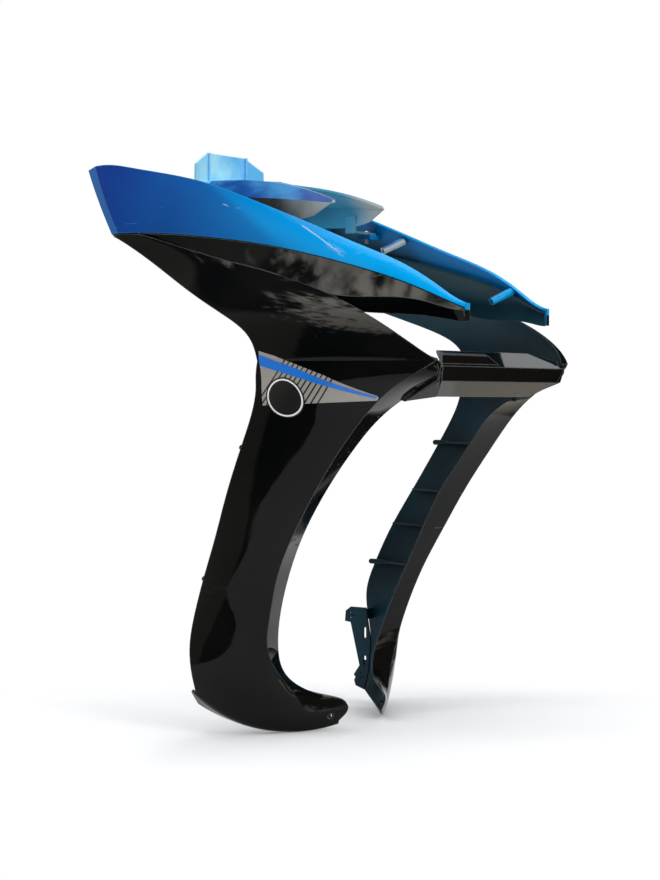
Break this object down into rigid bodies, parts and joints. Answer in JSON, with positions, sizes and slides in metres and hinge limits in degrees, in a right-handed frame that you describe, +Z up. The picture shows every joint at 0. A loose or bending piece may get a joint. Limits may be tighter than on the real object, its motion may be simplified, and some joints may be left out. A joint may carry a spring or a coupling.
{
  "type": "motorcycle leg shield fairing",
  "caption": "Underbone motorcycle front fairing: mirrored gloss black leg panels with blue blades, joined by a front bridge and a forked top cover.",
  "frame": {"origin": "midway between the two foot screw holes, at their front faces", "axes": "+X to the front of the motorcycle along the foot screws, +Y to its left, +Z up as mounted"},
  "size_m": [0.4884, 0.3978, 0.6322],
  "materials": {
    "black_gloss": "gloss black moulded plastic, scuffed",
    "blue_paint": "gloss metallic blue paint with fine scratches",
    "cover_paint": "blue paint thinning to pale overspray",
    "grey_film": "satin printed film",
    "blue_film": "printed film",
    "black_film": "printed film",
    "white_film": "printed film",
    "zinc_steel": "zinc plated"
  },
  "bodies": {
    "root": {"leg_panel_right": "black_gloss", "leg_panel_left": "black_gloss", "blade_panel_right": "blue_paint", "blade_panel_left": "blue_paint", "blade_trim_right": "black_gloss", "blade_trim_left": "black_gloss", "decal_field_right": "grey_film", "decal_field_left": "grey_film", "decal_stripe_right": "blue_film", "decal_stripe_left": "blue_film", "decal_bars_right": "black_film", "decal_bars_left": "black_film", "badge_disc_right": "black_film", "badge_disc_left": "black_film", "badge_ring_right": "white_film", "badge_ring_left": "white_film", "front_bridge": "black_gloss", "top_cover": "cover_paint", "bridge_screws": "zinc_steel", "cover_screws": "zinc_steel"}
  },
  "joints": []
}
